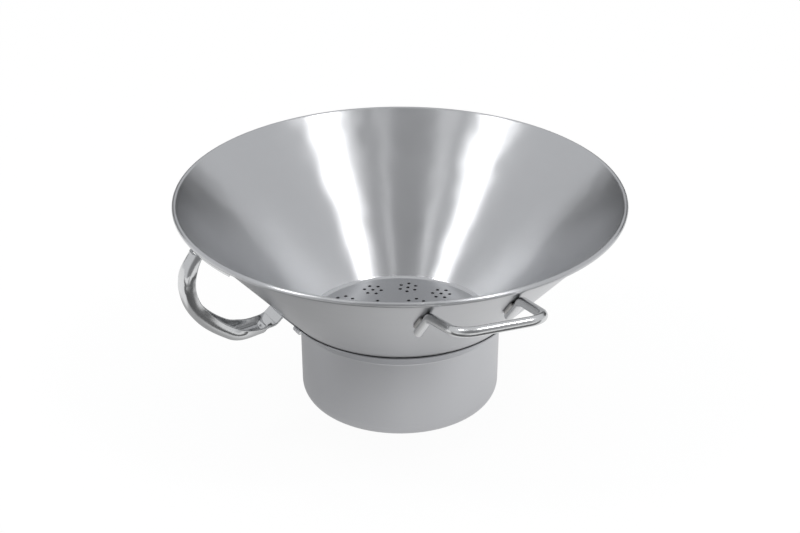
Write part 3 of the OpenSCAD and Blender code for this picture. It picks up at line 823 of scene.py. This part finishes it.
@dataclass
class RodHandle:
    """Round rod bent to a U, with two legs down the wall and weld beads beside them."""

    cone: Cone
    rod_d: float = 9.6
    azimuth: float = 262.3
    foot_w: float = 91.0
    grip_w: float = 87.0
    rim_r: float = 225.0
    rim_z: float = 221.605
    reach: float = 42.0
    drop: float = 8.7
    wall_drop: float = 25.3
    bend_r: float = 19.7
    leg: float = 41.0
    weld_gap: float = 0.1
    weld_r: float = 2.0
    weld_len: float = 24.0
    sides: int = 48
    bend_parts: int = 14

    def _wall_point(self, z: float) -> Array:
        """Point of the rod's axis beside the wall at a height, in the handle's own plane."""
        far = float(self.cone.radius(z, self.rod_d / 2 + self.weld_gap))
        return np.array([math.sqrt(far * far - self.foot_w ** 2 / 4), self.foot_w / 2, z])

    def corners(self) -> Array:
        """Corners of the rod's middle line from one leg's end to the other."""
        z = self.rim_z - self.wall_drop
        top = self._wall_point(z)
        low = self._wall_point(z - self.leg * math.cos(math.radians(self.cone.angle)))
        out = np.array([self.rim_r + self.reach, self.grip_w / 2, self.rim_z - self.drop])
        flip = np.array([1.0, -1.0, 1.0])
        return np.stack([low, top, out, out * flip, top * flip, low * flip])

    def middle_line(self) -> tuple[Array, Array]:
        """Samples of the middle line: straight runs joined by arcs of the bending radius.

        Returns:
            Points (n, 3) and unit directions (n, 3).
        """
        c = self.corners()
        points, ways = [c[:1]], [self._unit(c[1] - c[0])[None]]
        for i in range(1, len(c) - 1):
            d, e = self._unit(c[i] - c[i - 1]), self._unit(c[i + 1] - c[i])
            turn = math.acos(float(d @ e))
            side = (e - (d @ e) * d) / math.sin(turn)
            begin = c[i] - d * self.bend_r * math.tan(turn / 2)
            w = (turn * np.arange(self.bend_parts + 1) / self.bend_parts)[:, None]
            points.append(begin + self.bend_r * (np.sin(w) * d + (1 - np.cos(w)) * side))
            ways.append(np.cos(w) * d + np.sin(w) * side)
        points.append(c[-1:])
        ways.append(self._unit(c[-1] - c[-2])[None])
        return np.concatenate(points), np.concatenate(ways)

    @staticmethod
    def _unit(v: Array) -> Array:
        """The vector at length one."""
        return v / np.linalg.norm(v)

    def build(self, finishes: Finishes) -> None:
        """Makes the rod with broken ends, and its weld beads.

        Args:
            finishes: the object's finishes.
        """
        line, way = self.middle_line()
        c = self.corners()
        ref = np.cross(c[2] - c[1], np.array([0.0, 1.0, 0.0]))
        radius = np.full(len(line), self.rod_d / 2)
        edge = 0.5
        line = np.concatenate([line[:1], line[:1] + edge * way[:1], line[1:-1], line[-1:] - edge * way[-1:], line[-1:]])
        way = np.concatenate([way[:1], way, way[-1:]])
        radius = np.concatenate([[self.rod_d / 2 - edge], radius, [self.rod_d / 2 - edge]])
        x = ref[None] - (way @ ref)[:, None] * way
        x /= np.linalg.norm(x, axis=1, keepdims=True)
        y = np.cross(way, x)
        k = 2 * np.pi * np.arange(self.sides) / self.sides
        ring = (np.cos(k)[None, :, None] * x[:, None] + np.sin(k)[None, :, None] * y[:, None]) * radius[:, None, None]
        points = rotation_z((line[:, None] + ring).reshape(-1, 3), self.azimuth)
        n, m = len(line), self.sides
        faces = grid_faces(n, m, wrap_columns=True).tolist() + [list(range(m)), list(range((n - 1) * m, n * m))]
        obj = add_mesh("rod_handle_bent", points, faces)
        merge_doubles(obj)
        settle(obj, "rod_handle", Body.BOWL, finishes.rod)
        self._build_welds(finishes)

    def _build_welds(self, finishes: Finishes) -> None:
        """Makes the weld beads: a round bead whose radius ripples along its length and closes at its ends.

        Args:
            finishes: the object's finishes.
        """
        c = self.corners()
        rows, cols = 90, 20
        t = np.linspace(0.0, 1.0, rows)
        ripple = self.weld_r * (1.0 + 0.07 * np.abs(np.sin(np.pi * 13 * t)))
        radius = ripple * np.sqrt(np.clip(1.0 - (2.0 * t - 1.0) ** 14, 1e-4, 1.0))
        k = 2 * np.pi * np.arange(cols) / cols
        points, faces = [], []
        for leg in (1.0, -1.0):
            low, top = c[0] * np.array([1, leg, 1]), c[1] * np.array([1, leg, 1])
            way = self._unit(top - low)
            mid = low + (top - low) * 0.42
            az = math.atan2(mid[1], mid[0])
            out = np.array([self.cone.normal[0] * math.cos(az), self.cone.normal[0] * math.sin(az), self.cone.normal[1]])
            out = self._unit(out - (out @ way) * way)
            side = np.cross(way, out)
            for hand in (1.0, -1.0):
                base = mid - out * self.rod_d / 2 * 0.72 + side * hand * self.rod_d / 2 * 0.9
                axis = base + ((t - 0.5) * self.weld_len)[:, None] * way
                ring = np.cos(k)[None, :, None] * out + np.sin(k)[None, :, None] * side
                grid = axis[:, None] + ring * radius[:, None, None]
                first = sum(len(p) for p in points)
                points.append(rotation_z(grid.reshape(-1, 3), self.azimuth))
                faces += (grid_faces(rows, cols, wrap_columns=True) + first).tolist()
                faces += [list(range(first, first + cols)), list(range(first + (rows - 1) * cols, first + rows * cols))]
        obj = add_mesh("rod_weld_beads", np.concatenate(points), faces, 60.0)
        merge_doubles(obj)
        settle(obj, "rod_welds", Body.BOWL, finishes.weld)


@dataclass
class Studio:
    """Camera, lamps, world and floor."""

    aim: tuple[float, float, float] = (0.0, 0.0, 0.143)
    distance: float = 2.210
    azimuth: float = 242.0
    elevation: float = 27.41
    lens: float = 99.0
    floor_half: float = 8.0
    dark_azimuth: float = 242.0
    dark_elevation: float = 20.0
    dark_inner: float = 22.0
    dark_outer: float = 62.0
    dark_level: float = 0.26
    # Behind the object the room is dim up to some degrees over the horizon
    horizon_low: float = 14.0
    horizon_high: float = 24.0
    horizon_level: float = 0.02
    bright_level: float = 0.72
    # Painted light in the table's glow as metal mirrors it: a dim strip to the left of the middle
    table_dim: float = 0.44
    table_bright: float = 1.0
    # Painted shadow in the table's glow under the bowl, seen only in reflections
    shade_inner: float = 0.10
    shade_outer: float = 0.17
    shade_level: float = 0.88
    # A painted dark strip lies across the table's glow in front of the object, seen only in reflections
    strip_at: float = 0.40
    strip_half: float = 0.13
    strip_level: float = 0.05

    def _from_aim(self, azimuth: float, elevation: float, distance: float) -> Vector:
        """Point that lies in a direction from the aim."""
        a, e = math.radians(azimuth), math.radians(elevation)
        return Vector(self.aim) + distance * Vector((math.cos(e) * math.cos(a), math.cos(e) * math.sin(a), math.sin(e)))

    def camera(self) -> None:
        """Sets the camera at the photograph's angle."""
        data = bpy.data.cameras.new("photo_camera")
        data.lens, data.sensor_width, data.sensor_fit = self.lens, 36.0, "HORIZONTAL"
        obj = bpy.data.objects.new("photo_camera", data)
        obj.location = self._from_aim(self.azimuth, self.elevation, self.distance)
        obj.rotation_euler = (Vector(self.aim) - obj.location).to_track_quat("-Z", "Y").to_euler()
        bpy.context.scene.collection.objects.link(obj)
        bpy.context.scene.camera = obj

    def lamp(self, name: str, azimuth: float, elevation: float, distance: float, size: tuple[float, float],
             watts: float) -> None:
        """Hangs a soft box that faces the object.

        Args:
            name: lamp's name.
            azimuth: direction from the object.
            elevation: angle over the floor.
            distance: from the aim.
            size: width and height of the box, in metres.
            watts: its power.
        """
        data = bpy.data.lights.new(name, "AREA")
        data.shape, data.size, data.size_y, data.energy = "RECTANGLE", size[0], size[1], watts
        obj = bpy.data.objects.new(name, data)
        obj.location = self._from_aim(azimuth, elevation, distance)
        obj.rotation_euler = (Vector(self.aim) - obj.location).to_track_quat("-Z", "Y").to_euler()
        bpy.context.scene.collection.objects.link(obj)

    def world(self) -> None:
        """Lights the room: white walls and ceiling, and a darker room behind the camera.

        The camera itself sees plain white. The dark part is a round patch of sky: the direction's dot product with
        the patch's centre runs through a smooth step.
        """
        world = bpy.data.worlds.new("studio")
        bpy.context.scene.world = world
        world.use_nodes = True
        tree = world.node_tree
        tree.nodes.clear()
        place = add_node(tree, "ShaderNodeTexCoord").outputs["Generated"]
        a, e = math.radians(self.dark_azimuth), math.radians(self.dark_elevation)
        centre = (math.cos(e) * math.cos(a), math.cos(e) * math.sin(a), math.sin(e))
        near = add_node(tree, "ShaderNodeVectorMath", {"operation": "DOT_PRODUCT", 1: centre},
                        {0: place}).outputs["Value"]
        level = add_node(tree, "ShaderNodeMapRange",
                         {"interpolation_type": "SMOOTHSTEP", 1: math.cos(math.radians(self.dark_outer)),
                          2: math.cos(math.radians(self.dark_inner)), 3: self.bright_level, 4: self.dark_level},
                         {0: near}).outputs[0]
        height = add_node(tree, "ShaderNodeSeparateXYZ", links={0: place}).outputs[2]
        ring = add_node(tree, "ShaderNodeMapRange",
                        {"interpolation_type": "SMOOTHSTEP", 1: math.sin(math.radians(self.horizon_low)),
                         2: math.sin(math.radians(self.horizon_high)), 3: self.horizon_level, 4: 1.0},
                        {0: height}).outputs[0]
        back = add_node(tree, "ShaderNodeVectorMath", {"operation": "DOT_PRODUCT",
                                                       1: (-math.cos(a), -math.sin(a), 0.0)},
                        {0: place}).outputs["Value"]
        behind = add_node(tree, "ShaderNodeMapRange", {"interpolation_type": "SMOOTHSTEP", 1: 0.52, 2: 0.68},
                          {0: back}).outputs[0]
        wall = add_node(tree, "ShaderNodeMix", {2: 1.0}, {0: behind, 3: ring}).outputs[0]
        level = add_node(tree, "ShaderNodeMath", {"operation": "MULTIPLY"}, {0: level, 1: wall}).outputs[0]
        plain = add_node(tree, "ShaderNodeBackground", {"Color": linear("#FCFDFF")}, {"Strength": level})
        white = add_node(tree, "ShaderNodeBackground", {"Color": (1.0, 1.0, 1.0, 1.0), "Strength": 1.0})
        seen = add_node(tree, "ShaderNodeLightPath").outputs["Is Camera Ray"]
        mix = add_node(tree, "ShaderNodeMixShader", links={0: seen, 1: plain.outputs[0], 2: white.outputs[0]})
        add_node(tree, "ShaderNodeOutputWorld", links={0: mix.outputs[0]})

    def floor(self) -> None:
        """Lays the pale table: white to the camera with a faint shadow, and in reflections a glow with painted light
        and painted shade.
        """
        s = self.floor_half
        mesh = bpy.data.meshes.new("floor")
        mesh.from_pydata([(-s, -s, 0), (s, -s, 0), (s, s, 0), (-s, s, 0)], [], [(0, 1, 2, 3)])
        obj = bpy.data.objects.new("floor", mesh)
        bpy.context.scene.collection.objects.link(obj)
        material = bpy.data.materials.new("pale_table_painted_glow")
        material.use_nodes = True
        tree = material.node_tree
        tree.nodes.clear()
        matte = add_node(tree, "ShaderNodeBsdfDiffuse", {"Color": linear("#F0F0F0")}).outputs[0]
        glow = add_node(tree, "ShaderNodeEmission", {"Color": (1.0, 1.0, 1.0, 1.0), "Strength": 1.03}).outputs[0]
        pale = add_node(tree, "ShaderNodeMixShader", {0: 0.92}, {1: matte, 2: glow}).outputs[0]
        place = add_node(tree, "ShaderNodeTexCoord").outputs["Object"]
        a = math.radians(self.azimuth)
        # Painted light: the glow is dimmer in a strip to the left of the middle
        across = add_node(tree, "ShaderNodeVectorMath", {"operation": "DOT_PRODUCT",
                                                         1: (-math.sin(a), math.cos(a), 0.0)},
                          {0: place}).outputs["Value"]
        right = add_node(tree, "ShaderNodeMapRange",
                         {"interpolation_type": "SMOOTHSTEP", 1: -0.20, 2: 0.04, 3: self.table_dim,
                          4: self.table_bright}, {0: across}).outputs[0]
        left = add_node(tree, "ShaderNodeMapRange",
                        {"interpolation_type": "SMOOTHSTEP", 1: -0.40, 2: -0.27, 3: self.table_bright, 4: 0.0},
                        {0: across}).outputs[0]
        level = add_node(tree, "ShaderNodeMath", {"operation": "MAXIMUM"}, {0: left, 1: right}).outputs[0]
        # Painted shadow: the glow darkens close under the bowl
        away = add_node(tree, "ShaderNodeVectorMath", {"operation": "LENGTH"}, {0: place}).outputs["Value"]
        shade = add_node(tree, "ShaderNodeMapRange",
                         {"interpolation_type": "SMOOTHSTEP", 1: self.shade_inner, 2: self.shade_outer,
                          3: self.shade_level, 4: 1.0}, {0: away}).outputs[0]
        # Painted shade: a dark strip across the glow in front of the object
        toward = add_node(tree, "ShaderNodeVectorMath", {"operation": "DOT_PRODUCT",
                                                         1: (math.cos(a), math.sin(a), 0.0)},
                          {0: place}).outputs["Value"]
        off = add_node(tree, "ShaderNodeMath", {"operation": "SUBTRACT", 1: self.strip_at}, {0: toward}).outputs[0]
        far = add_node(tree, "ShaderNodeMath", {"operation": "ABSOLUTE"}, {0: off}).outputs[0]
        front = add_node(tree, "ShaderNodeMapRange",
                         {"interpolation_type": "SMOOTHSTEP", 1: self.strip_half, 2: self.strip_half + 0.03,
                          3: self.strip_level, 4: 1.0}, {0: far}).outputs[0]
        shade = add_node(tree, "ShaderNodeMath", {"operation": "MULTIPLY"}, {0: shade, 1: front}).outputs[0]
        under = add_node(tree, "ShaderNodeMath", {"operation": "MULTIPLY"}, {0: level, 1: shade}).outputs[0]
        # Reflections see a glow in place of the lit table: its strength carries the painted light and shade above
        painted_glow = add_node(tree, "ShaderNodeEmission", links={"Strength": under}).outputs[0]
        painted_glow_mix = add_node(tree, "ShaderNodeMixShader", {0: 0.85}, {1: matte, 2: painted_glow}).outputs[0]
        paths = add_node(tree, "ShaderNodeLightPath").outputs
        glossy = add_node(tree, "ShaderNodeMixShader", links={0: paths["Is Glossy Ray"], 1: matte,
                                                              2: painted_glow_mix}).outputs[0]
        final = add_node(tree, "ShaderNodeMixShader", links={0: paths["Is Camera Ray"], 1: glossy,
                                                             2: pale}).outputs[0]
        add_node(tree, "ShaderNodeOutputMaterial", links={0: final})
        obj.data.materials.append(material)

    def build(self) -> None:
        """Sets up the whole studio."""
        bpy.context.scene.view_settings.view_transform = "Standard"
        self.camera()
        self.world()
        self.floor()
        self.lamp("soft_box_right", 302.4, 58.0, 2.4, (0.46, 0.6), 10.2)
        self.lamp("soft_box_left", 165.5, 58.0, 2.4, (0.42, 0.5), 7.2)
        self.lamp("strip_left", 206.0, 58.0, 2.4, (0.25, 0.4), 0.8)
        self.lamp("strip_middle", 256.0, 58.0, 2.4, (0.12, 0.4), 0.5)
        self.lamp("strip_right", 281.0, 58.0, 2.4, (0.15, 0.4), 0.5)


def dress_cad_nodes(finishes: Finishes) -> None:
    """Gives the hinge and catch pieces, which keep their CAD solids, their finishes.

    Args:
        finishes: the object's finishes.
    """
    worn = {"foot_plate": finishes.plate, "hinge_pin": finishes.rod, "pot_leaf": finishes.plate,
            "catch_base": finishes.plate, "catch_spring": finishes.spring, "catch_rivets": finishes.rod}
    for node, material in worn.items():
        dress(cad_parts[node], material)
        LOG.info("%s keeps its CAD solid", node)


def main() -> None:
    """Builds the object and the studio."""
    logging.basicConfig(level=logging.INFO, format="%(message)s")
    finishes = Finishes()
    cone = Cone()
    Studio().build()
    Bowl(cone).build(finishes)
    Pot(cone).build(finishes)
    LoopHandle(cone).build(finishes)
    RodHandle(cone).build(finishes)
    dress_cad_nodes(finishes)


if __name__ == "__main__":
    main()
